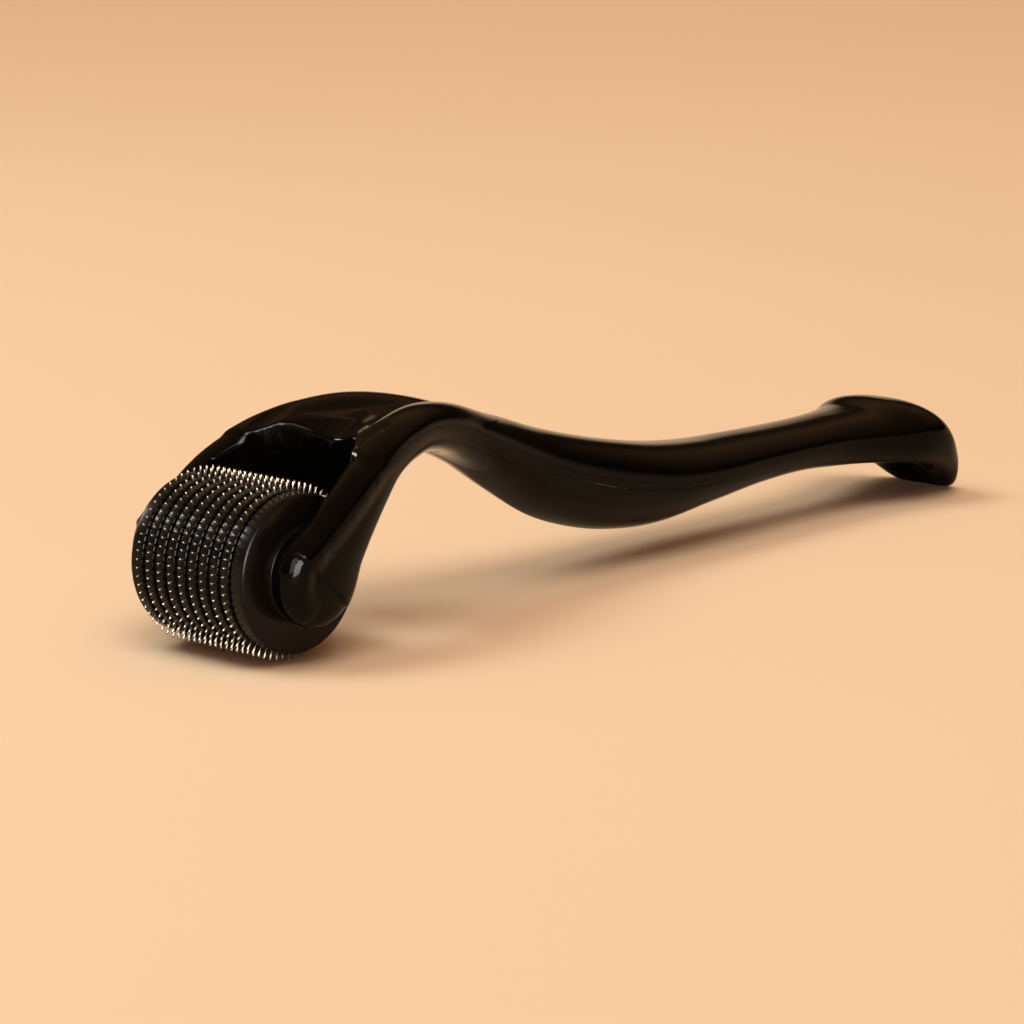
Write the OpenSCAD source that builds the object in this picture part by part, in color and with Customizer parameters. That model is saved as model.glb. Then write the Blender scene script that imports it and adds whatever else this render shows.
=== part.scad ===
// Derma roller: a glossy two-piece handle with a fork at the front, carrying a
// drum of nine needle discs that spins freely on a steel axle.
// Millimetres. X runs from the drum to the tail, Y lies along the axle, Z is up.
// The origin is on the floor under the middle of the overall length.

/* [Drum] */
// radius over the needle tips
tip_r = 10.6; // [10.2:0.1:11]
// radius of the black spacer rings between the discs
ring_r = 9.5; // [9.2:0.1:9.8]
// distance between neighbouring needle discs
row_pitch = 1.8; // [1.6:0.05:1.9]
// thickness of one needle disc
disc_t = 0.3; // [0.2:0.05:0.5]
// needles around one disc
needles = 64; // [48:4:76]
// half width of a needle at its root
needle_w = 0.14; // [0.12:0.02:0.26]
// half length of the drum between the outer faces of its end caps
cap_face = 9.45; // [9.2:0.05:9.6]
// radius of the raised boss on each end cap
boss_r = 5.6; // [5:0.2:7.4]

/* [Axle] */
// radius of the steel axle
axle_r = 1.5; // [1.2:0.1:1.8]
// running clearance on the radius between axle and bushes
run_gap = 0.05; // [0.02:0.01:0.1]
// outer radius of the bearing bushes
bush_r = 2.6; // [2.3:0.1:3]

/* [Handle] */
// overall length from the needle tips to the tip of the tail
overall_l = 144; // [142:1:152]
// half gap between the inner faces of the fork arms
fork_half = 10.4; // [10.3:0.1:10.6]
// length of the window between the drum axis and the crotch of the fork
crotch_x = 15; // [14:0.5:16]
// wall of the hollow grip
wall = 1.7; // [1.4:0.1:2]
// seam between the upper shell and the belly cover
seam = 0.12; // [0.05:0.01:0.2]

/* [Hidden] */
shell_colour = "#151312";
ring_colour = "#1b1917";
bush_colour = "#3a3836";
steel_colour = "#c9c2b6";
axle_x = tip_r - overall_l / 2;
axle_z = tip_r;
tail_x = overall_l - tip_r;
half_rows = 4;
fork_end = 35;
stretch = (tail_x - fork_end) / (133.4 - fork_end);
core_r = 6.4;
bore_r = core_r + 0.03;
step_n = 36;

// ---- stations of the handle, measured from the drum axis -----------------
// [x, top, bottom, half width, scoop between the ridges, roundness, hollow below, keel]
TRUNK = [
  [9, 13.6, 10.5, 11.4, 1, 0.87, 0, 0],
  [13, 15.2, 10.5, 11.2, 1.6, 0.87, 0, 0],
  [18, 16.1, 10.8, 10.2, 1.9, 0.87, 0, 0],
  [23, 16.4, 10.6, 9, 1.8, 0.87, 0, 0.4],
  [29, 15.8, 9.4, 7.9, 1.2, 0.87, 0, 0.8],
  [35, 14.2, 6.7, 7, 0.4, 0.87, 0, 1],
  [42, 11.9, 2.2, 6.5, 0, 0.87, 0, 1],
  [49, 9.5, -1.9, 6.4, 0, 0.87, 0, 1],
  [56, 7.5, -4.5, 6.5, 0, 0.87, 0, 1],
  [64, 5.6, -6.3, 6.7, 0, 0.87, 0, 1],
  [73, 3.9, -7, 6.9, 0, 0.87, 0, 1],
  [82, 2.9, -5.9, 6.7, 0, 0.87, 0, 0.9],
  [92, 2.5, -4.7, 6.2, 0, 0.87, 0, 0.7],
  [101, 2.3, -4.2, 6, 0, 0.86, 0, 0.4],
  [109, 2.3, -4.6, 6.3, 0, 0.84, 0.2, 0.1],
  [116, 2.5, -5.3, 7.9, 0, 0.82, 1, 0],
  [121, 3.2, -6.1, 9.8, 0, 0.82, 1.8, 0],
  [125.5, 2.1, -7.2, 10, 0, 0.84, 2.2, 0],
  [129, -2, -8.8, 8.6, 0, 0.88, 1.8, 0],
  [131.4, -6, -10.4, 6.8, 0, 0.9, 0.6, 0],
  [132.7, -8.2, -11.2, 5.2, 0, 0.9, 0, 0],
  [133.4, -9.8, -11.3, 3.6, 0, 0.9, 0, 0]];

// arm of the fork: [x, y, z, half width, half thickness]
ARM = [
  [0, 12.1, 0, 5.9, 2.3],
  [3, 12.1, 3.4, 4.8, 2.3],
  [5.7, 11.9, 6.2, 4.1, 2.3],
  [9, 11.2, 9, 3.5, 2.5],
  [13, 9.9, 11.5, 2.9, 2.8],
  [18, 8.1, 13, 2.7, 3],
  [24, 6, 13.4, 2.7, 3.1],
  [31, 3.9, 12.1, 2.7, 3.1],
  [38, 2.2, 9.4, 2.6, 2.8]];

// parting line of the belly cover: [x, height]
PART = [
  [31, 10.5], [36, 8.4], [39, 7.1], [43, 5.8], [47.5, 4.4], [54.5, 2.2], [62, 0.2], [70.5, -1.1],
  [78.5, -1.6], [86, -1.9], [93, -2.1], [99, -3.4], [103, -5.4]];
posts = [57, 78];

// ---- smooth curve through a list of stations -------------------------------
function slope(L, i) =
  i == 0 ? (L[1] - L[0]) / (L[1][0] - L[0][0])
  : i == len(L) - 1 ? (L[i] - L[i - 1]) / (L[i][0] - L[i - 1][0])
  : (L[i + 1] - L[i - 1]) / (L[i + 1][0] - L[i - 1][0]);
function cubic(a, b, ma, mb, h, t) =
  (2 * t * t * t - 3 * t * t + 1) * a + (t * t * t - 2 * t * t + t) * h * ma
  + (3 * t * t - 2 * t * t * t) * b + (t * t * t - t * t) * h * mb;
function at(L, x, i = 0) =
  i >= len(L) - 2 || x <= L[i + 1][0]
  ? let(h = L[i + 1][0] - L[i][0])
    cubic(L[i], L[i + 1], slope(L, i), slope(L, i + 1), h, (x - L[i][0]) / h)
  : at(L, x, i + 1);
// the overall length stretches only the stations behind the fork
function long(x) = x <= fork_end ? x : fork_end + (x - fork_end) * stretch;
function pw(v, p) = sign(v) * pow(abs(v), p);
// power of the lower half of an outline, drawn toward a keel
function keel(s, sharp) = 2 / s[5] * (1 - s[7]) + sharp * s[7];

// one closed outline of the handle at a station, seen along X
function ring(s, n = step_n, inset = 0) =
  let(w = s[3] - inset, zt = s[1] - inset, zb = s[2] + inset, zm = (zt + zb) / 2)
  [for (i = [0 : n - 1])
    let(a = 360 * i / n, low = sin(a) < -0.01, y = w * pw(cos(a), low ? 2 / keel(s, 1.3) : s[5]),
        u = min(1, abs(y) / (0.78 * w)), v = pow(1 - u * u, 2),
        dip = sin(a) > 0.01 ? -s[4] * v : sin(a) < -0.01 ? s[6] * v : 0)
    [long(s[0]), y, zm + (zt - zm) * pw(sin(a), low ? 2 / keel(s, 1.9) : s[5]) + dip]];

// skin over a list of outlines, capped flat at both ends
module skin(R) {
  n = len(R[0]);
  m = len(R);
  polyhedron(
    points = [for (r = R) for (p = r) p],
    faces = concat(
      [[for (i = [0 : n - 1]) i]],
      [for (j = [0 : m - 2]) for (i = [0 : n - 1])
        [j * n + i, (j + 1) * n + i, j * n + (i + 1) % n]],
      [for (j = [0 : m - 2]) for (i = [0 : n - 1])
        [(j + 1) * n + i, (j + 1) * n + (i + 1) % n, j * n + (i + 1) % n]],
      [[for (i = [n - 1 : -1 : 0]) (m - 1) * n + i]]));
}

// stations close together where the surface turns quickly
trunk_x = concat(
  [for (x = [9 : 2.4 : 33]) x],
  [for (x = [35.5 : 2.95 : 112.3]) x],
  [for (x = [114.5 : 1.7 : 131.5]) x],
  [132.1, 132.7, 133.1, 133.4]);
module trunk() {
  skin([for (x = trunk_x) ring(at(TRUNK, x))]);
}

// one arm: outlines square to the centre line of the arm
module arm(side) {
  skin([for (k = [0 : 0.25 : 8])
    let(i = min(len(ARM) - 2, floor(k)), x = ARM[i][0] + (ARM[i + 1][0] - ARM[i][0]) * (k - i),
        s = at(ARM, x), e = at(ARM, x + 0.05) - s,
        d = [e[0], e[1], e[2]] / norm([e[0], e[1], e[2]]),
        b0 = [0, 1, 0] - d * d[1], b = b0 / norm(b0),
        up = cross(d, b), n = 28)
    [for (j = [0 : n - 1])
      let(a = (side > 0 ? 1 : -1) * 360 * j / n,
          p = [s[0], s[1], s[2]] + up * (s[3] * pw(sin(a), 0.9)) + b * (s[4] * pw(cos(a), 0.85)))
      [p[0], side * p[1], p[2]]]]);
}

// teardrop end of an arm, rounded over toward the outside
module hub(side) {
  n = 40;
  skin([for (k = [0 : 12])
    let(a = 90 - 15 * k,
        r = max(1.2, 5.9 * pow(abs(cos(a)), 0.75)), y = side * 12.1 + 2.3 * pw(sin(a), 0.85))
    [for (j = [0 : n - 1]) [r * cos(360 * j / n), y, r * sin(360 * j / n)]]]);
}

module handle_solid() {
  trunk();
  arm(1);
  arm(-1);
  hub(1);
  hub(-1);
  crotch_wall();
}

// outline of the window between the arms, seen from above
module window_plan(grow = 0) {
  translate([-12, -fork_half - grow]) square([14.1, 2 * (fork_half + grow)]);
  translate([2, 0]) scale([(crotch_x - 2 + grow) / (fork_half + grow), 1])
    circle(fork_half + grow, $fn = 72);
}

// wall that follows the window and closes the fork behind the drum
module crotch_wall() {
  intersection() {
    translate([0, 0, 5]) linear_extrude(9) window_plan(2.2);
    rotate([90, 0, 0]) linear_extrude(22.4, center = true)
      polygon([[6, 6], [8, 5.4], [15.4, 5.4], [16.2, 5.9], [17.6, 12.5], [14, 12.5], [9, 9.4], [6, 6.6]]);
  }
}

// room for the drum: the window, and the drum swept round its axle
module fork_window() {
  translate([0, 0, -12]) linear_extrude(40) window_plan();
  rotate([90, 0, 0]) cylinder(h = 2 * fork_half - 0.2, r = tip_r + 0.6, center = true, $fn = 72);
}

// everything below the parting line, between the two ends of the belly cover
module below_parting(drop, y_half) {
  xs = concat(31, [for (x = [33.69 : 2.46 : 102]) x], 103);
  rotate([90, 0, 0]) translate([0, 0, -y_half]) linear_extrude(2 * y_half)
    polygon(concat([for (x = xs) [long(x), at(PART, x)[1] - drop]], [[long(103), -12], [long(31), -12]]));
}

module grip_cavity() {
  skin([for (x = [47 : 3 : 92]) ring(at(TRUNK, x), 24, wall)]);
}

module shell_posts() {
  for (x = posts) translate([long(x), 0, at(PART, x)[1] + 0.3])
    cylinder(h = at(TRUNK, x)[1] - at(PART, x)[1] - 1, r = 2.4, $fn = 32);
}

module cover_posts() {
  for (x = posts) translate([long(x), 0, at(TRUNK, x)[2] + 0.8]) {
    cylinder(h = at(PART, x)[1] - at(TRUNK, x)[2] - 0.8, r = 2.4, $fn = 32);
    cylinder(h = at(PART, x)[1] - at(TRUNK, x)[2] + 2, r = 1, $fn = 32);
  }
}

// ---- handle ---------------------------------------------------------------------
module handle_upper_shell() {
  color(shell_colour) difference() {
    resize([0, 0, 0]) union() {
      difference() {
        handle_solid();
        fork_window();
        below_parting(0, 12);
        grip_cavity();
        translate([tail_x - 40, -20, -20]) cube([60, 40, 20 - tip_r]);
      }
      shell_posts();
    }
    for (side = [-1, 1]) translate([0, side * (fork_half - 1), 0]) rotate([-90 * side, 0, 0])
      cylinder(h = 3.3, r = bush_r, $fn = 64);
    for (x = posts) translate([long(x), 0, at(PART, x)[1] - 1])
      cylinder(h = 4, r = 1.06, $fn = 32);
  }
}

module handle_belly_cover() {
  color(shell_colour) resize([0, 0, 0]) union() {
    difference() {
      intersection() {
        trunk();
        below_parting(seam, 11);
      }
      grip_cavity();
    }
    cover_posts();
  }
}

// ---- bearings and axle ------------------------------------------------------
module bearing_bush(side) {
  color(bush_colour) translate([0, side * (fork_half + 0.02), 0]) rotate([-90 * side, 0, 0])
    difference() {
      cylinder(h = 2.2, r = bush_r - 0.02, $fn = 64);
      translate([0, 0, -1]) cylinder(h = 5, r = axle_r + run_gap, $fn = 64);
    }
}

module axle_pin() {
  half = fork_half + 2;
  color(steel_colour) rotate([90, 0, 0]) rotate_extrude($fn = 64)
    polygon([[0, -half], [axle_r - 0.3, -half], [axle_r, 0.3 - half],
      [axle_r, half - 0.3], [axle_r - 0.3, half], [0, half]]);
}

// ---- drum -----------------------------------------------------------------------
module drum_core() {
  color(ring_colour) rotate([90, 0, 0]) difference() {
    cylinder(h = 16.2, r = core_r, center = true, $fn = 6);
    cylinder(h = 20, r = axle_r + 0.02, center = true, $fn = 64);
  }
}

module end_cap(side) {
  y0 = half_rows * row_pitch + disc_t / 2 + 0.01;
  color(ring_colour) rotate([-90 * side, 0, 0]) difference() {
    rotate_extrude($fn = 128)
      polygon([[axle_r + 0.02, y0], [ring_r - 0.35, y0], [ring_r, y0 + 0.3],
        [ring_r, cap_face - 0.7], [ring_r - 0.15, cap_face - 0.25], [ring_r - 0.5, cap_face],
        [boss_r, cap_face], [boss_r, fork_half - 0.45], [boss_r - 0.15, fork_half - 0.3],
        [axle_r + 0.02, fork_half - 0.3]]);
    translate([0, 0, y0 - 1]) cylinder(h = 9.1 - y0, r = bore_r, $fn = 6);
  }
}

module needle_disc(i) {
  pitch = 360 / needles;
  root = ring_r - 0.35;
  root_turn = asin(needle_w / root);
  tip_turn = asin(0.05 / tip_r);
  color(steel_colour) translate([0, (i - half_rows - 1) * row_pitch, 0]) rotate([90, 0, 0])
    linear_extrude(disc_t, center = true) difference() {
      polygon([for (k = [0 : needles - 1]) for (c = [0 : 3])
        let(a = -90 + pitch * k + [-root_turn, -tip_turn, tip_turn, root_turn][c],
            r = [root, tip_r, tip_r, root][c])
        [r * cos(a), r * sin(a)]]);
      circle(bore_r, $fn = 6);
    }
}

module spacer_ring(i) {
  half = (row_pitch - disc_t) / 2 - 0.01;
  color(ring_colour) translate([0, (i - half_rows - 0.5) * row_pitch, 0]) rotate([90, 0, 0])
    difference() {
      rotate_extrude($fn = 128)
        polygon([[3, -half], [ring_r - 0.35, -half], [ring_r, 0.3 - half],
          [ring_r, half - 0.3], [ring_r - 0.35, half], [3, half]]);
      cylinder(h = 4, r = bore_r, center = true, $fn = 6);
    }
}

// ---- the part, or one node of it ----------------------------------------------
module placed() {
  translate([axle_x, 0, axle_z]) children();
}

placed() handle_upper_shell();
placed() handle_belly_cover();
placed() bearing_bush(1);  // bearing_bush_left
placed() bearing_bush(-1);  // bearing_bush_right
placed() axle_pin();
placed() drum_core();
placed() end_cap(1);  // end_cap_left
placed() end_cap(-1);  // end_cap_right
placed() needle_disc(1);  // needle_disc_1
placed() needle_disc(2);  // needle_disc_2
placed() needle_disc(3);  // needle_disc_3
placed() needle_disc(4);  // needle_disc_4
placed() needle_disc(5);  // needle_disc_5
placed() needle_disc(6);  // needle_disc_6
placed() needle_disc(7);  // needle_disc_7
placed() needle_disc(8);  // needle_disc_8
placed() needle_disc(9);  // needle_disc_9
placed() spacer_ring(1);  // spacer_ring_1
placed() spacer_ring(2);  // spacer_ring_2
placed() spacer_ring(3);  // spacer_ring_3
placed() spacer_ring(4);  // spacer_ring_4
placed() spacer_ring(5);  // spacer_ring_5
placed() spacer_ring(6);  // spacer_ring_6
placed() spacer_ring(7);  // spacer_ring_7
placed() spacer_ring(8);  // spacer_ring_8
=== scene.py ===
"""Derma roller: smooth handle, needle drum, materials and studio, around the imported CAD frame."""

import math

import bmesh
import bpy
import numpy as np
from mathutils import Matrix, Vector


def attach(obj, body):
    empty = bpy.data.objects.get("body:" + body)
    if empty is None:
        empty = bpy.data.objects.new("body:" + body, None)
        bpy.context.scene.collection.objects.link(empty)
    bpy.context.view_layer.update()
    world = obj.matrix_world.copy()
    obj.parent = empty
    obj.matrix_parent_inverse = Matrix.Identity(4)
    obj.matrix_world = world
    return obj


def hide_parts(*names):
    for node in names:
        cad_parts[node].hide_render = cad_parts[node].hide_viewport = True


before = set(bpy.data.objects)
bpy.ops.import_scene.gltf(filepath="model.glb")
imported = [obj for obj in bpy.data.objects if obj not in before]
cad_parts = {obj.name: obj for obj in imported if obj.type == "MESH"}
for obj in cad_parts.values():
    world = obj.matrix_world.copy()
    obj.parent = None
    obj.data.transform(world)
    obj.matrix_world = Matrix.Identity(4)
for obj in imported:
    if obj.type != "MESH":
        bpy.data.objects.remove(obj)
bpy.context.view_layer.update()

# ---------------------------------------------------------------- dimensions
# Millimetres, measured from the drum axis, as in the CAD model.
TIP_R = 10.6
RING_R = 9.5
PITCH = 1.8
DISC_T = 0.3
NEEDLES = 64
CAP_FACE = 9.45
BOSS_R = 5.6
AXLE_R = 1.5
BUSH_R = 2.6
FORK = 10.4
CROTCH = 15.0
AXLE_X = -61.4
TAIL = 133.4
SEAM = 0.06
DISC_BORE = 6.6
ROWS = 9
# hub at the end of each fork arm
HUB_R = 5.9
HUB_Y = 11.9
# the belly cover runs between these two stations
COVER_FROM, COVER_TO = 31, 103

# x, top, bottom, half width, scoop, roundness, hollow below, keel
TRUNK = np.array([
    [9, 13.6, 10.5, 11.4, 1, 0.87, 0, 0], [13, 15.2, 10.5, 11.2, 1.6, 0.87, 0, 0],
    [18, 16.1, 10.8, 10.2, 1.9, 0.87, 0, 0], [23, 16.4, 10.6, 9, 1.8, 0.87, 0, 0.4],
    [29, 15.8, 9.4, 7.9, 1.2, 0.87, 0, 0.8], [35, 14.2, 6.7, 7, 0.4, 0.87, 0, 1],
    [42, 11.9, 2.2, 6.5, 0, 0.87, 0, 1], [49, 9.5, -1.9, 6.4, 0, 0.87, 0, 1],
    [56, 7.5, -4.5, 6.5, 0, 0.87, 0, 1], [64, 5.6, -6.3, 6.7, 0, 0.87, 0, 1],
    [73, 3.9, -7, 6.9, 0, 0.87, 0, 1], [82, 2.9, -5.9, 6.7, 0, 0.87, 0, 0.9],
    [92, 2.5, -4.7, 6.2, 0, 0.87, 0, 0.7], [101, 2.3, -4.2, 6, 0, 0.86, 0, 0.4],
    [109, 2.3, -4.6, 6.3, 0, 0.84, 0.2, 0.1], [116, 2.5, -5.3, 7.9, 0, 0.82, 1, 0],
    [121, 3.2, -6.1, 9.8, 0, 0.82, 1.8, 0], [125.5, 2.1, -7.2, 10, 0, 0.84, 2.2, 0],
    [129, -2, -8.8, 8.6, 0, 0.88, 1.8, 0], [131.4, -6, -10.4, 6.8, 0, 0.9, 0.6, 0],
    [132.7, -8.2, -11.2, 5.2, 0, 0.9, 0, 0], [133.4, -9.8, -11.3, 3.6, 0, 0.9, 0, 0]], float)

# arm: x, y, z, half width, half thickness
ARM = np.array([
    [0, 12.1, 0, 5.9, 2.3], [3, 12.1, 3.4, 4.8, 2.3], [5.7, 11.9, 6.2, 4.1, 2.3],
    [9, 11.2, 9, 3.5, 2.5], [13, 9.9, 11.5, 2.9, 2.8], [18, 8.1, 13, 2.7, 3],
    [24, 6, 13.4, 2.7, 3.1], [31, 3.9, 12.1, 2.7, 3.1], [38, 2.2, 9.4, 2.6, 2.8]], float)

# parting line of the belly cover: x, height
PART = np.array([
    [31, 10.5], [36, 8.4], [39, 7.1], [43, 5.8], [47.5, 4.4], [54.5, 2.2], [62, 0.2], [70.5, -1.1],
    [78.5, -1.6], [86, -1.9], [93, -2.1], [99, -3.4], [103, -5.4]], float)


def to_row(p):
    """Drum-axis millimetres to row-frame metres."""
    p = np.asarray(p, float)
    return (p + np.array([AXLE_X, 0.0, TIP_R])) / 1000.0


# ---------------------------------------------------------------- smooth handle
def along(table, x):
    """The smooth curve through the stations of a table, at each x."""
    xs, v = table[:, 0], table
    m = np.empty_like(v)
    m[1:-1] = (v[2:] - v[:-2]) / (xs[2:] - xs[:-2])[:, None]
    m[0] = (v[1] - v[0]) / (xs[1] - xs[0])
    m[-1] = (v[-1] - v[-2]) / (xs[-1] - xs[-2])
    x = np.clip(x, xs[0], xs[-1])
    i = np.clip(np.searchsorted(xs, x, side="right") - 1, 0, len(xs) - 2)
    h = (xs[i + 1] - xs[i])[:, None]
    t = ((x - xs[i])[:, None]) / h
    return ((2 * t**3 - 3 * t**2 + 1) * v[i] + (t**3 - 2 * t**2 + t) * h * m[i]
            + (3 * t**2 - 2 * t**3) * v[i + 1] + (t**3 - t**2) * h * m[i + 1])


def smin(a, b, k):
    h = np.maximum(k - np.abs(a - b), 0.0) / k
    return np.minimum(a, b) - h * h * k * 0.25


def smax(a, b, k):
    return -smin(-a, -b, k)


FINE_X = np.linspace(TRUNK[0, 0], TRUNK[-1, 0], 2400)
FINE = along(TRUNK, FINE_X)
MID = (FINE[:, 1] + FINE[:, 2]) / 2
COSPHI = 1 / np.sqrt(1 + np.gradient(MID, FINE_X) ** 2)


def keeled_field(u, v, a, b, nu, nv):
    """Near-distance to an oval of half sizes a, b with its own power along each axis."""
    pu, pv = np.maximum(u / a, 1e-5), np.maximum(v / b, 1e-5)
    f = np.maximum(pu**nu + pv**nv, 1e-9)
    far = np.maximum(f, 1.0) ** (1 / np.maximum(nu, nv))
    f_u, f_v = nu * pu ** (nu - 1) / a, nv * pv ** (nv - 1) / b
    slope = np.sqrt(f_u**2 + f_v**2) / np.maximum(f, 1.0) * far
    return np.where(f > 1, far - 1, f - 1) / np.maximum(slope, 0.05)


def rounded_field(u, v, a, b, n):
    """Near-distance to a superellipse of half sizes a, b and power n."""
    pu, pv = np.maximum(u / a, 1e-5), np.maximum(v / b, 1e-5)
    f = np.maximum(pu**n + pv**n, 1e-9)
    r = f ** (1 / n)
    grad = np.sqrt((pu ** (n - 1) / a) ** 2 + (pv ** (n - 1) / b) ** 2) * r ** (1 - n)
    return (r - 1) / np.maximum(grad, 1e-3)


def trunk_field(p):
    x = np.clip(p[:, 0], TRUNK[0, 0], TRUNK[-1, 0])
    zt, zb, w, scoop, pw, hollow, keel = [np.interp(x, FINE_X, FINE[:, k]) for k in range(1, 8)]
    zm, h = (zt + zb) / 2, (zt - zb) / 2
    ay = np.abs(p[:, 1])
    u = np.minimum(1.0, ay / (0.78 * w))
    v = (1 - u * u) ** 2
    q = p[:, 2] - zm
    up = np.clip(q / h * 2, 0, 1)
    up = up * up * (3 - 2 * up)
    down = np.clip(-q / h * 2, 0, 1)
    down = down * down * (3 - 2 * down)
    q = q + scoop * v * up - hollow * v * down
    keel = np.clip(np.where(q < 0, keel, 0), 0, 1)
    nu, nv = 2 / pw * (1 - keel) + 1.3 * keel, 2 / pw * (1 - keel) + 1.9 * keel
    d = keeled_field(ay, np.abs(q), w, h, nu, nv) * np.interp(x, FINE_X, COSPHI)
    d = smax(d, p[:, 0] - TAIL, 1.2)
    return smax(d, TRUNK[0, 0] - p[:, 0], 0.5)


ARM_X = np.linspace(0, 38, 400)
ARM_V = along(ARM, ARM_X)
ARM_T = np.gradient(ARM_V[:, :3], axis=0)
ARM_T /= np.linalg.norm(ARM_T, axis=1)[:, None]
ARM_B = np.array([0, 1.0, 0]) - ARM_T * ARM_T[:, 1:2]
ARM_B /= np.linalg.norm(ARM_B, axis=1)[:, None]
ARM_U = np.cross(ARM_T, ARM_B)
ARM_STEP = ARM[-1, 0] / 304

# rounded ridge along the outside of an arm, and how far it runs on round the hub
RIDGE_R = 2.1
RIDGE_FROM, RIDGE_TO = math.radians(125), math.radians(225)


def arm_field(p):
    q = p.copy()
    q[:, 1] = np.abs(q[:, 1])
    out = np.full(len(q), 30.0)
    near = np.where((q[:, 0] < 44) & (q[:, 0] > -9))[0]
    for part in np.array_split(near, max(1, len(near) // 20000)):
        s = q[part]
        d2 = ((s[:, None, 0:3:2] - ARM_V[None, ::4, 0:3:2]) ** 2).sum(2)
        i = np.clip(np.argmin(d2, 1) * 4, 0, len(ARM_V) - 1)
        for _ in range(3):
            along_t = ((s - ARM_V[i, :3]) * ARM_T[i]).sum(1)
            step = np.round(along_t / ARM_STEP).astype(int)
            i = np.clip(i + step, 0, len(ARM_V) - 1)
        rel = s - ARM_V[i, :3]
        t = (rel * ARM_T[i]).sum(1)
        # slide between samples so that the field is smooth
        span = np.where(t > 0, np.minimum(i + 1, len(ARM_V) - 1), np.maximum(i - 1, 0))
        gap = np.abs(((ARM_V[span, :3] - ARM_V[i, :3]) * ARM_T[i]).sum(1))
        w = np.clip(np.where(gap > 1e-6, np.abs(t) / np.maximum(gap, 1e-6), 0), 0, 1)[:, None]
        v = ARM_V[i] * (1 - w) + ARM_V[span] * w
        bb = ARM_B[i] * (1 - w) + ARM_B[span] * w
        uu = ARM_U[i] * (1 - w) + ARM_U[span] * w
        rel = s - v[:, :3]
        rise, out_y = (rel * uu).sum(1), (rel * bb).sum(1)
        d = rounded_field(np.abs(rise), np.abs(out_y + 0.2), v[:, 3], v[:, 4] - 0.2, 2.3)
        ridge = np.hypot(rise - v[:, 3] + RIDGE_R, out_y - v[:, 4] + 2.0) - RIDGE_R
        d = smin(d, ridge + np.maximum(v[:, 0] - 7, 0) * 0.12, 0.8)
        d = np.maximum(d, -(s - ARM_V[0, :3]) @ ARM_T[0])
        out[part] = np.maximum(d, (s - ARM_V[-1, :3]) @ ARM_T[-1])
    return out


def hub_field(p):
    """Disc at the end of an arm, with the arm's ridge running on round its front edge."""
    r = np.hypot(p[:, 0], p[:, 2])
    ay = np.abs(p[:, 1])
    d = rounded_field(r, np.abs(ay - HUB_Y), HUB_R, 2.1, 2.4)
    turn = np.arctan2(p[:, 2], p[:, 0])
    turn = np.clip(np.where(turn < 0, turn + 2 * math.pi, turn), RIDGE_FROM, RIDGE_TO)
    ridge_y = HUB_Y + 0.5 - 0.6 * (turn - RIDGE_FROM) / (RIDGE_TO - RIDGE_FROM)
    reach = HUB_R - RIDGE_R
    gap = np.hypot(p[:, 0] - reach * np.cos(turn), p[:, 2] - reach * np.sin(turn))
    return smin(d, np.hypot(gap, ay - ridge_y) - RIDGE_R, 0.6)


def window_field(p, grow=0.0):
    """Negative inside the window between the arms, seen from above."""
    a, b = CROTCH - 2 + grow, FORK + grow
    ay = np.abs(p[:, 1])
    ux = np.maximum(p[:, 0] - 2, 0)
    f = np.sqrt(np.maximum((ux / a) ** 2 + (ay / b) ** 2, 1e-9))
    grad = np.sqrt((ux / a**2) ** 2 + (ay / b**2) ** 2) / f
    return (f - 1) / np.maximum(grad, 1e-3)


def half_plane(p, x0, z0, x1, z1):
    """Distance to the line from 0 to 1 in the XZ plane, positive on its left."""
    dx, dz = x1 - x0, z1 - z0
    return ((p[:, 2] - z0) * dx - (p[:, 0] - x0) * dz) / math.hypot(dx, dz)


def wall_field(p):
    d = smax(window_field(p, 2.2), 5.4 - p[:, 2], 0.8)
    d = smax(d, p[:, 2] - 12.3, 0.4)
    d = smax(d, half_plane(p, 6, 6.6, 14, 12.5), 0.4)
    d = smax(d, -half_plane(p, 15.9, 5.4, 17.6, 12.5), 0.6)
    return np.maximum(d, 6 - p[:, 0])


# foot of the bevel round the window: distance from the middle plane, height
LIP = np.array([
    [0, 12.5], [2, 12.9], [3.5, 13.5], [5.2, 14.1], [6.5, 14.2], [8.3, 13.3], [9.2, 13.2],
    [10, 14], [11, 17]], float)


def body_field(p):
    d = trunk_field(p)
    fork = p[:, 0] < 48
    if fork.any():
        s = p[fork]
        a = smin(arm_field(s), hub_field(s), 1.0)
        e = smin(d[fork], a, 1.1)
        e = smin(e, wall_field(s), 0.9)
        gap = window_field(s)
        edge = np.interp(np.abs(s[:, 1]), LIP[:, 0], LIP[:, 1])
        edge += np.maximum(8.5 - s[:, 0], 0)
        e = smax(e, (s[:, 2] - edge - 0.55 * gap) / 1.14, 0.2)
        e = smax(e, -gap, 0.3)
        sweep = np.maximum(np.hypot(s[:, 0], s[:, 2]) - (TIP_R + 0.6), np.abs(s[:, 1]) - (FORK - 0.1))
        e = smax(e, -sweep, 0.4)
        socket = np.maximum(np.hypot(s[:, 0], s[:, 2]) - BUSH_R, np.abs(s[:, 1]) - 12.7)
        d[fork] = smax(e, -socket, 0.1)
    return smax(d, -TIP_R - p[:, 2], 0.3)


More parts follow.
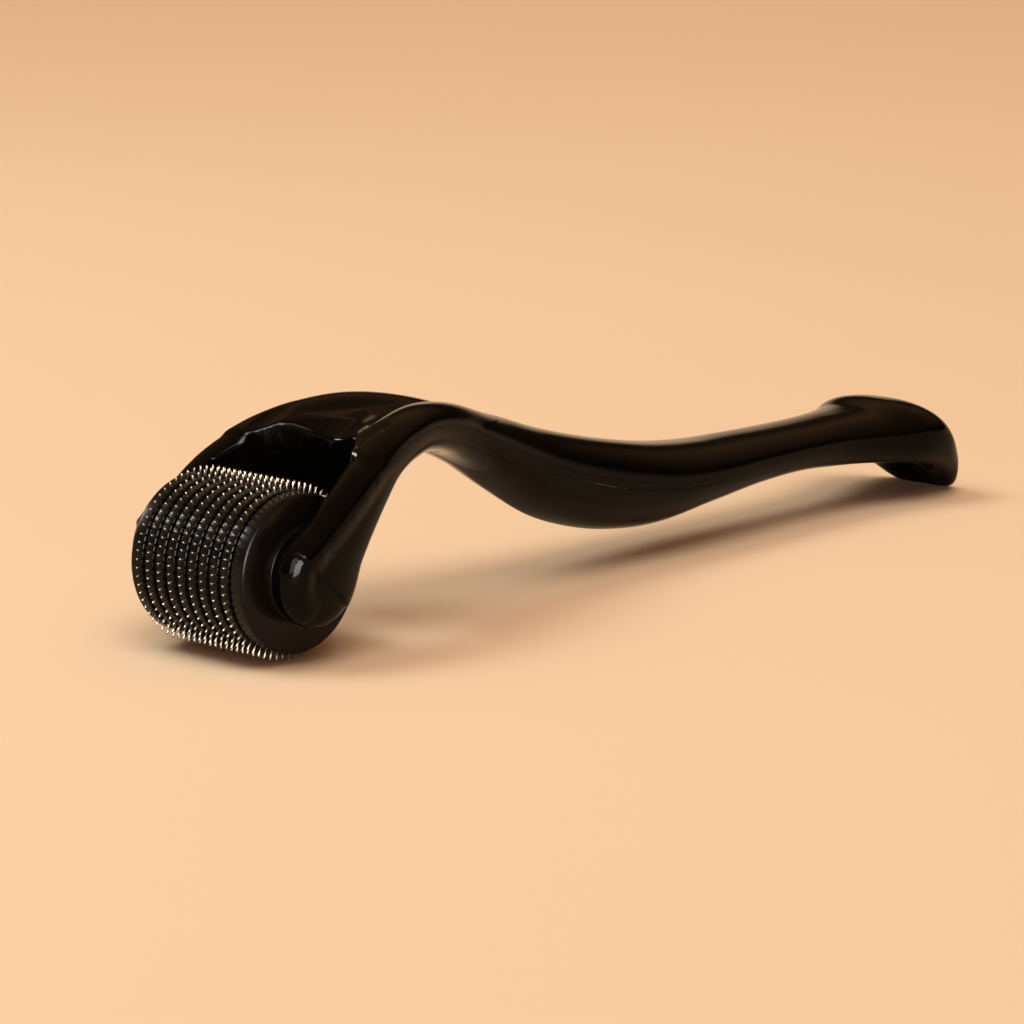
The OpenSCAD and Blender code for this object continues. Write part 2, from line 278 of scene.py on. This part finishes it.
def surface(field, lo, hi, step):
    """Quads on field = 0 inside a box, with their points moved onto the surface exactly."""
    n = np.ceil((np.array(hi) - np.array(lo)) / step).astype(int) + 1
    ax = [lo[k] + step * np.arange(n[k]) for k in range(3)]
    val = np.empty(n)
    for i in range(n[0]):
        yy, zz = np.meshgrid(ax[1], ax[2], indexing="ij")
        val[i] = field(np.stack([np.full(yy.size, ax[0][i]), yy.ravel(), zz.ravel()], 1)).reshape(n[1:])
    neg = val < 0
    corner = [(a, b, c) for a in (0, 1) for b in (0, 1) for c in (0, 1)]
    m = n - 1

    def cut(arr, c):
        return arr[c[0]:c[0] + m[0], c[1]:c[1] + m[1], c[2]:c[2] + m[2]]
    count = sum(cut(neg, c).astype(int) for c in corner)
    live = (count > 0) & (count < 8)
    index = np.full(m, -1)
    index[live] = np.arange(live.sum())
    total = np.zeros((live.sum(), 3))
    hits = np.zeros(live.sum())
    for a in corner:
        for k in range(3):
            if a[k]:
                continue
            b = list(a)
            b[k] = 1
            va, vb = cut(val, a)[live], cut(val, tuple(b))[live]
            cross = (va < 0) != (vb < 0)
            t = np.where(cross, va / np.where(cross, va - vb, 1), 0)
            pt = np.tile(np.array(a, float), (len(va), 1))
            pt[:, k] += t
            total += pt * cross[:, None]
            hits += cross
    cell = np.argwhere(live)
    pts = (cell + total / hits[:, None]) * step + np.array(lo)
    faces = []
    for k in range(3):
        u, v = (k + 1) % 3, (k + 2) % 3
        sl_a = [slice(1, m[0]), slice(1, m[1]), slice(1, m[2])]
        sl_a[k] = slice(0, m[k])
        sl_b = list(sl_a)
        sl_b[k] = slice(1, m[k] + 1)
        a, b = neg[tuple(sl_a)], neg[tuple(sl_b)]
        for flip, edge in ((False, a & ~b), (True, ~a & b)):
            e = np.argwhere(edge)
            off = np.ones(3, int)
            off[k] = 0
            e = e + off
            quad = []
            for du, dv in ((0, 0), (-1, 0), (-1, -1), (0, -1)):
                c = e.copy()
                c[:, u] += du
                c[:, v] += dv
                quad.append(index[c[:, 0], c[:, 1], c[:, 2]])
            q = np.stack(quad, 1)
            faces.append(q[:, ::-1] if flip else q)
    faces = np.concatenate(faces)
    for _ in range(4):
        g = slope_of(field, pts)
        f = field(pts)
        move = -f / np.maximum((g**2).sum(1), 0.05)
        delta = g * move[:, None]
        size = np.linalg.norm(delta, axis=1)
        delta *= np.minimum(1, 0.25 * step / np.maximum(size, 1e-9) * 2)[:, None]
        pts = pts + delta
    return pts, faces


def mesh_object(name, pts, faces, row=True):
    """A mesh from points in drum-axis millimetres, or in metres where row is False."""
    me = bpy.data.meshes.new(name)
    co = to_row(pts) if row else np.asarray(pts, float)
    faces = np.asarray(faces)
    me.vertices.add(len(co))
    me.vertices.foreach_set("co", co.astype(np.float32).ravel())
    me.loops.add(faces.size)
    me.loops.foreach_set("vertex_index", faces.astype(np.int32).ravel())
    me.polygons.add(len(faces))
    me.polygons.foreach_set("loop_start", np.arange(0, faces.size, faces.shape[1], dtype=np.int32))
    me.polygons.foreach_set("use_smooth", np.ones(len(faces), bool))
    me.update(calc_edges=True)
    me.validate()
    ob = bpy.data.objects.new(name, me)
    bpy.context.scene.collection.objects.link(ob)
    return ob


def apply_modifiers(ob):
    deps = bpy.context.evaluated_depsgraph_get()
    me = bpy.data.meshes.new_from_object(ob.evaluated_get(deps))
    ob.modifiers.clear()
    old = ob.data
    ob.data = me
    bpy.data.meshes.remove(old)


def slope_of(field, pts, h=0.03):
    """Gradient of a field by central differences."""
    g = np.empty_like(pts)
    for k in range(3):
        d = np.zeros(3)
        d[k] = h
        g[:, k] = (field(pts + d) - field(pts - d)) / (2 * h)
    return g


def shade_by_field(ob, field):
    """Corner normals taken from the exact surface, and from the face itself on the cut faces."""
    me = ob.data
    co = np.empty(len(me.vertices) * 3, np.float32)
    me.vertices.foreach_get("co", co)
    pts = co.reshape(-1, 3).astype(float) * 1000 - np.array([AXLE_X, 0.0, TIP_R])
    g = slope_of(field, pts)
    g /= np.maximum(np.linalg.norm(g, axis=1), 1e-9)[:, None]
    flat = np.empty(len(me.polygons) * 3, np.float32)
    me.polygons.foreach_get("normal", flat)
    total = np.empty(len(me.polygons), np.int32)
    me.polygons.foreach_get("loop_total", total)
    corner = np.empty(len(me.loops), np.int32)
    me.loops.foreach_get("vertex_index", corner)
    face = np.repeat(flat.reshape(-1, 3).astype(float), total, axis=0)
    normal = g[corner]
    off = (normal * face).sum(1) < 0.6
    normal[off] = face[off]
    me.polygons.foreach_set("use_smooth", np.ones(len(me.polygons), bool))
    me.normals_split_custom_set(normal)


def below_parting(drop):
    """A closed block under the parting line."""
    x = np.linspace(COVER_FROM, COVER_TO, 145)
    z = along(PART, x)[:, 1] - drop
    side = [(a, b) for a, b in zip(x, z)] + [(COVER_TO, -14), (COVER_FROM, -14)]
    n = len(side)
    pts = [(a, -13, b) for a, b in side] + [(a, 13, b) for a, b in side]
    bm = bmesh.new()
    vs = [bm.verts.new(to_row(p)) for p in pts]
    bm.faces.new(vs[:n])
    bm.faces.new(vs[n:][::-1])
    for i in range(n):
        j = (i + 1) % n
        bm.faces.new((vs[i], vs[n + i], vs[n + j], vs[j]))
    bmesh.ops.recalc_face_normals(bm, faces=bm.faces)
    me = bpy.data.meshes.new("block")
    bm.to_mesh(me)
    bm.free()
    ob = bpy.data.objects.new("block", me)
    bpy.context.scene.collection.objects.link(ob)
    return ob


def boolean(ob, other, kind):
    mod = ob.modifiers.new("cut", "BOOLEAN")
    mod.operation = kind
    mod.object = other
    mod.solver = "EXACT"
    apply_modifiers(ob)
    bpy.data.objects.remove(other)


STEP = 0.25
pts, faces = surface(body_field, (-7.2, -15.3, -11.4), (134.5, 15.3, 17.6), STEP)
upper = mesh_object("handle_upper", pts, faces)
cover = upper.copy()
cover.data = upper.data.copy()
cover.name = "belly_cover"
bpy.context.scene.collection.objects.link(cover)
boolean(upper, below_parting(0.0), "DIFFERENCE")
boolean(cover, below_parting(SEAM), "INTERSECT")
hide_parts("handle_upper_shell")
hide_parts("handle_belly_cover")
for ob in (upper, cover):
    shade_by_field(ob, body_field)
    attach(ob, "handle")


# ---------------------------------------------------------------- drum
def face_outward(ob, sharp_deg):
    """Turn all faces outward, and keep edges sharp beyond an angle."""
    bm = bmesh.new()
    bm.from_mesh(ob.data)
    bmesh.ops.recalc_face_normals(bm, faces=bm.faces)
    bm.to_mesh(ob.data)
    bm.free()
    ob.data.set_sharp_from_angle(angle=math.radians(sharp_deg))


def lathe(name, profile, segments=180):
    """A closed outline of (radius, y) pairs turned round the drum axis."""
    n = len(profile)
    pts, faces = [], []
    for s in range(segments):
        a = 2 * math.pi * s / segments
        for r, y in profile:
            pts.append((r * math.cos(a), y, r * math.sin(a)))
    for s in range(segments):
        t = (s + 1) % segments
        for i in range(n):
            j = (i + 1) % n
            faces.append((s * n + i, s * n + j, t * n + j, t * n + i))
    ob = mesh_object(name, pts, faces)
    face_outward(ob, 35)
    return ob


def arc(cx, cy, r, a0, a1, steps):
    """Points on an arc in (radius, y) with angles in degrees."""
    return [(cx + r * math.cos(math.radians(a0 + (a1 - a0) * k / steps)),
             cy + r * math.sin(math.radians(a0 + (a1 - a0) * k / steps))) for k in range(steps + 1)]


drum_parts, steel_parts = [], []
half = (PITCH - DISC_T) / 2 - 0.01
BORE_END = 8.2
for i in range(1, ROWS):
    y = (i - ROWS / 2) * PITCH
    prof = ([(DISC_BORE, y - half), (RING_R - 0.34, y - half)]
            + arc(RING_R - 0.3, y - half + 0.3, 0.3, -90, 0, 5)
            + arc(RING_R - 0.3, y + half - 0.3, 0.3, 0, 90, 5)
            + [(RING_R - 0.34, y + half), (DISC_BORE, y + half)])
    ring = lathe("ring_%d" % i, prof)
    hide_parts("spacer_ring_%d" % i)
    drum_parts.append(ring)

for side, name, node in ((1, "cap_left", "end_cap_left"), (-1, "cap_right", "end_cap_right")):
    y0 = (ROWS - 1) / 2 * PITCH + DISC_T / 2 + 0.01
    prof = ([(DISC_BORE, y0), (RING_R - 0.34, y0)]
            + arc(RING_R - 0.3, y0 + 0.3, 0.3, -90, 0, 5)
            + arc(RING_R - 0.45, CAP_FACE - 0.45, 0.45, 0, 90, 8)
            + [(BOSS_R + 0.12, CAP_FACE)]
            + arc(BOSS_R - 0.15, FORK - 0.45, 0.15, 0, 90, 3)
            + [(AXLE_R + 0.02, FORK - 0.3), (AXLE_R + 0.02, BORE_END), (DISC_BORE, BORE_END)])
    cap = lathe(name, [(r, side * y) for r, y in prof])
    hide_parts(node)
    drum_parts.append(cap)


def needle_disc(i):
    """A thin disc with a crown of ground needles."""
    y = (i - (ROWS + 1) / 2) * PITCH
    root = RING_R - 1.1
    rng = np.random.default_rng(100 + i)
    pts, faces = [], []
    half_t = DISC_T / 2
    seg = NEEDLES * 2
    for s in range(seg):
        a = -math.pi / 2 + 2 * math.pi * (s + 0.5) / seg
        for r, yy in ((DISC_BORE, y - half_t), (root, y - half_t),
                      (root, y + half_t), (DISC_BORE, y + half_t)):
            pts.append((r * math.cos(a), yy, r * math.sin(a)))
    for s in range(seg):
        t = (s + 1) % seg
        for k in range(4):
            j = (k + 1) % 4
            faces.append((s * 4 + k, s * 4 + j, t * 4 + j, t * 4 + k))
    for k in range(NEEDLES):
        a = -math.pi / 2 + 2 * math.pi * k / NEEDLES
        ca, sa = math.cos(a), math.sin(a)
        lean = rng.normal(0, 0.012)
        # distance from the axle, half width and half thickness, from root to tip
        rows = ((root - 0.1, 0.17, 0.14), (RING_R, 0.17, 0.15), (TIP_R - 0.55, 0.17, 0.15),
                (TIP_R - 0.2, 0.15, 0.14), (TIP_R - 0.06, 0.1, 0.1), (TIP_R - 0.01, 0.05, 0.05))
        base = len(pts)
        for r, hw, ht in rows:
            shift = lean * (r - root)
            for q in range(8):
                b = math.pi / 4 * (q + 0.5)
                w, t = hw * math.cos(b) + shift, ht * math.sin(b)
                pts.append((r * ca - w * sa, y + t, r * sa + w * ca))
        for j in range(len(rows) - 1):
            low = base + j * 8
            for q in range(8):
                p = (q + 1) % 8
                faces.append((low + q, low + p, low + 8 + p, low + 8 + q))
        top = base + (len(rows) - 1) * 8
        for q in (0, 2, 4):
            faces.append((top, top + q + 1, top + q + 2, top + q + 3))
        for q in (0, 2, 4):
            faces.append((base + q + 3, base + q + 2, base + q + 1, base))
    ob = mesh_object("needles_%d" % i, pts, faces)
    face_outward(ob, 60)
    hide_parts("needle_disc_%d" % i)
    return ob


for i in range(1, ROWS + 1):
    steel_parts.append(needle_disc(i))

for ob in drum_parts:
    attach(ob, "drum")
for ob in steel_parts:
    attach(ob, "drum")


# ---------------------------------------------------------------- materials
def new_material(name):
    mat = bpy.data.materials.new(name)
    mat.use_nodes = True
    nt = mat.node_tree
    nt.nodes.clear()
    out = nt.nodes.new("ShaderNodeOutputMaterial")
    bsdf = nt.nodes.new("ShaderNodeBsdfPrincipled")
    nt.links.new(bsdf.outputs[0], out.inputs[0])
    return mat, nt, bsdf


def noise(nt, scale, detail=3.0, rough=0.5):
    tc = nt.nodes.new("ShaderNodeTexCoord")
    node = nt.nodes.new("ShaderNodeTexNoise")
    node.inputs["Scale"].default_value = scale
    node.inputs["Detail"].default_value = detail
    node.inputs["Roughness"].default_value = rough
    nt.links.new(tc.outputs["Object"], node.inputs["Vector"])
    return node


def ramp(nt, source, stops):
    node = nt.nodes.new("ShaderNodeValToRGB")
    el = node.color_ramp.elements
    while len(el) < len(stops):
        el.new(0.5)
    for e, (pos, col) in zip(el, stops):
        e.position = pos
        e.color = (*col, 1) if len(col) == 3 else (col[0], col[0], col[0], 1)
    nt.links.new(source, node.inputs[0])
    return node


def add_bump(nt, bsdf, scale, strength, distance):
    grain = noise(nt, scale, 2.0)
    bump = nt.nodes.new("ShaderNodeBump")
    bump.inputs["Strength"].default_value = strength
    bump.inputs["Distance"].default_value = distance
    nt.links.new(grain.outputs[0], bump.inputs["Height"])
    nt.links.new(bump.outputs[0], bsdf.inputs["Normal"])


def plastic(name, dark, light, rough_lo, rough_hi, orange_peel, shine):
    """Moulded plastic: slight changes of tone and gloss, and a fine orange peel."""
    mat, nt, bsdf = new_material(name)
    tone = noise(nt, 90.0, 4.0)
    nt.links.new(ramp(nt, tone.outputs[0], [(0.3, dark), (0.7, light)]).outputs[0],
                 bsdf.inputs["Base Color"])
    smudge = noise(nt, 55.0, 5.0, 0.6)
    nt.links.new(ramp(nt, smudge.outputs[0], [(0.35, (rough_lo,)), (0.75, (rough_hi,))]).outputs[0],
                 bsdf.inputs["Roughness"])
    add_bump(nt, bsdf, 900.0, orange_peel, 0.00002)
    bsdf.inputs["IOR"].default_value = 1.5
    bsdf.inputs["Specular IOR Level"].default_value = shine
    return mat


handle_mat = plastic("handle_gloss_black", (0.0012, 0.0011, 0.0009), (0.0022, 0.0020, 0.0016),
                     rough_lo=0.06, rough_hi=0.11, orange_peel=0.10, shine=0.08)
drum_mat = plastic("drum_gloss_black", (0.004, 0.0034, 0.0028), (0.007, 0.006, 0.005),
                   rough_lo=0.20, rough_hi=0.30, orange_peel=0.15, shine=0.12)
bush_mat = plastic("bush_dark_grey", (0.02, 0.02, 0.02), (0.035, 0.034, 0.033),
                   rough_lo=0.4, rough_hi=0.55, orange_peel=0.2, shine=0.3)

def needle_steel():
    """Ground steel, bright at the tips, with painted shade darkening it toward the roots of the needles."""
    mat, nt, bsdf = new_material("needle_steel")
    tone = noise(nt, 1400.0, 2.0)
    steel = ramp(nt, tone.outputs[0], [(0.3, (0.24, 0.20, 0.15)), (0.7, (0.50, 0.43, 0.34))])
    place = nt.nodes.new("ShaderNodeTexCoord")
    shift = nt.nodes.new("ShaderNodeVectorMath")
    shift.operation = "SUBTRACT"
    shift.inputs[1].default_value = (AXLE_X / 1000, 0, TIP_R / 1000)
    flat = nt.nodes.new("ShaderNodeVectorMath")
    flat.operation = "MULTIPLY"
    flat.inputs[1].default_value = (1000, 0, 1000)
    radius = nt.nodes.new("ShaderNodeVectorMath")
    radius.operation = "LENGTH"
    nt.links.new(place.outputs["Object"], shift.inputs[0])
    nt.links.new(shift.outputs[0], flat.inputs[0])
    nt.links.new(flat.outputs[0], radius.inputs[0])
    # painted shade: the steel colour is scaled down to 7% toward the needle roots, where the grooves between
    # the rings lie in shade
    reach = nt.nodes.new("ShaderNodeMapRange")
    reach.inputs["From Min"].default_value = RING_R + 0.2
    reach.inputs["From Max"].default_value = TIP_R - 0.2
    reach.inputs["To Min"].default_value = 0.07
    reach.inputs["To Max"].default_value = 1.0
    nt.links.new(radius.outputs["Value"], reach.inputs["Value"])
    painted_root_shade = nt.nodes.new("ShaderNodeVectorMath")
    painted_root_shade.operation = "SCALE"
    nt.links.new(steel.outputs[0], painted_root_shade.inputs[0])
    nt.links.new(reach.outputs[0], painted_root_shade.inputs["Scale"])
    nt.links.new(painted_root_shade.outputs[0], bsdf.inputs["Base Color"])
    grind = noise(nt, 2200.0, 2.0)
    nt.links.new(ramp(nt, grind.outputs[0], [(0.3, (0.18,)), (0.75, (0.36,))]).outputs[0],
                 bsdf.inputs["Roughness"])
    bsdf.inputs["Metallic"].default_value = 1.0
    return mat


steel_mat = needle_steel()


def paint(ob, mat):
    ob.data.materials.clear()
    ob.data.materials.append(mat)


for ob in (upper, cover):
    paint(ob, handle_mat)
for ob in drum_parts:
    paint(ob, drum_mat)
for ob in steel_parts:
    paint(ob, steel_mat)
NODE_MATS = {"bearing_bush_left": bush_mat, "bearing_bush_right": bush_mat,
             "axle_pin": steel_mat, "drum_core": drum_mat}
for node, mat in NODE_MATS.items():
    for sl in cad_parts[node].material_slots:
        sl.material = mat

# ---------------------------------------------------------------- floor and light
floor_mat, nt, bsdf = new_material("backdrop_paper")
tone = noise(nt, 3.0, 2.0)
nt.links.new(ramp(nt, tone.outputs[0], [(0.3, (0.86, 0.60, 0.38)), (0.7, (0.88, 0.62, 0.40))]).outputs[0],
             bsdf.inputs["Base Color"])
bsdf.inputs["Roughness"].default_value = 0.75
bsdf.inputs["Specular IOR Level"].default_value = 0.2
add_bump(nt, bsdf, 2500.0, 0.12, 0.0001)
FLOOR = 6
floor = mesh_object("floor", [(-FLOOR, -FLOOR, 0), (FLOOR, -FLOOR, 0), (FLOOR, FLOOR, 0), (-FLOOR, FLOOR, 0)],
                    [(0, 1, 2, 3)], row=False)
paint(floor, floor_mat)

world = bpy.data.worlds.new("studio")
bpy.context.scene.world = world
world.use_nodes = True
nt = world.node_tree
direction = nt.nodes.new("ShaderNodeTexCoord")
split = nt.nodes.new("ShaderNodeSeparateXYZ")
nt.links.new(direction.outputs["Generated"], split.inputs[0])
# by height above the horizon: lit paper, a dark gap, then the dim warm room
sky = ramp(nt, split.outputs["Z"], [(0.0, (0.95, 0.66, 0.44)), (0.14, (0.80, 0.52, 0.32)),
                                    (0.24, (0.05, 0.028, 0.014)), (0.36, (0.05, 0.028, 0.014)),
                                    (0.55, (0.40, 0.19, 0.08)), (1.0, (0.56, 0.27, 0.11))])
nt.links.new(sky.outputs[0], nt.nodes["Background"].inputs[0])
nt.nodes["Background"].inputs[1].default_value = 1.0


def area_light(name, pos, target, size_x, size_y, power, colour):
    data = bpy.data.lights.new(name, "AREA")
    data.shape = "RECTANGLE"
    data.size, data.size_y = size_x, size_y
    data.energy = power
    data.color = colour
    ob = bpy.data.objects.new(name, data)
    bpy.context.scene.collection.objects.link(ob)
    ob.location = pos
    ob.rotation_mode = "QUATERNION"
    ob.rotation_quaternion = (Vector(target) - Vector(pos)).to_track_quat("-Z", "Y")
    return ob


sun_data = bpy.data.lights.new("overhead", "SUN")
sun_data.energy = 1.34
sun_data.angle = math.radians(42)
sun_data.color = (0.97, 1.05, 1.05)
sun = bpy.data.objects.new("overhead", sun_data)
bpy.context.scene.collection.objects.link(sun)
sun.rotation_mode = "QUATERNION"
sun.rotation_quaternion = Vector((0.27, 0.36, -1.0)).to_track_quat("-Z", "Y")
sun.visible_glossy = False

side = area_light("side", (-0.40, 0.34, 0.76), (0, 0, 0), 0.45, 0.45, 4.0, (0.87, 1.06, 1.12))
side.visible_glossy = False
# these three make the highlights only
FORK_AIM = (-0.05, 0, 0.02)
SOFT_WHITE = (1.0, 0.98, 0.96)
window = area_light("window", (-0.56, -0.67, 0.22), FORK_AIM, 0.45, 0.38, 12.0, SOFT_WHITE)
halo = area_light("halo", (-0.60, -0.545, 0.42), FORK_AIM, 0.9, 0.5, 9.0, SOFT_WHITE)
back_strip = area_light("back_strip", (-0.277, 0.76, 0.394), FORK_AIM, 0.14, 0.25, 4.0, (1.0, 0.96, 0.9))
for light in (window, halo, back_strip):
    light.visible_diffuse = False
    light.visible_camera = False

# ---------------------------------------------------------------- camera
AZ, EL = math.radians(-47.71), math.radians(12.0)
back = Vector((math.sin(AZ) * math.cos(EL), -math.cos(AZ) * math.cos(EL), math.sin(EL)))
right = Vector((math.cos(AZ), math.sin(AZ), 0))
up = back.cross(right)
# drum axis in camera millimetres: right, up, back
OFFSET = (-31.4, -5.89, -492.8)
centre = -(right * OFFSET[0] + up * OFFSET[1] + back * OFFSET[2])
cam_data = bpy.data.cameras.new("camera")
cam = bpy.data.objects.new("camera", cam_data)
bpy.context.scene.collection.objects.link(cam)
cam_data.sensor_width = 36
cam_data.lens = 4200 / 1024 * 36
cam_data.clip_start, cam_data.clip_end = 0.02, 30
cam.location = to_row(centre)
cam.rotation_mode = "QUATERNION"
cam.rotation_quaternion = Matrix((right, up, back)).transposed().to_quaternion()
bpy.context.scene.camera = cam
bpy.context.scene.view_settings.view_transform = "Standard"
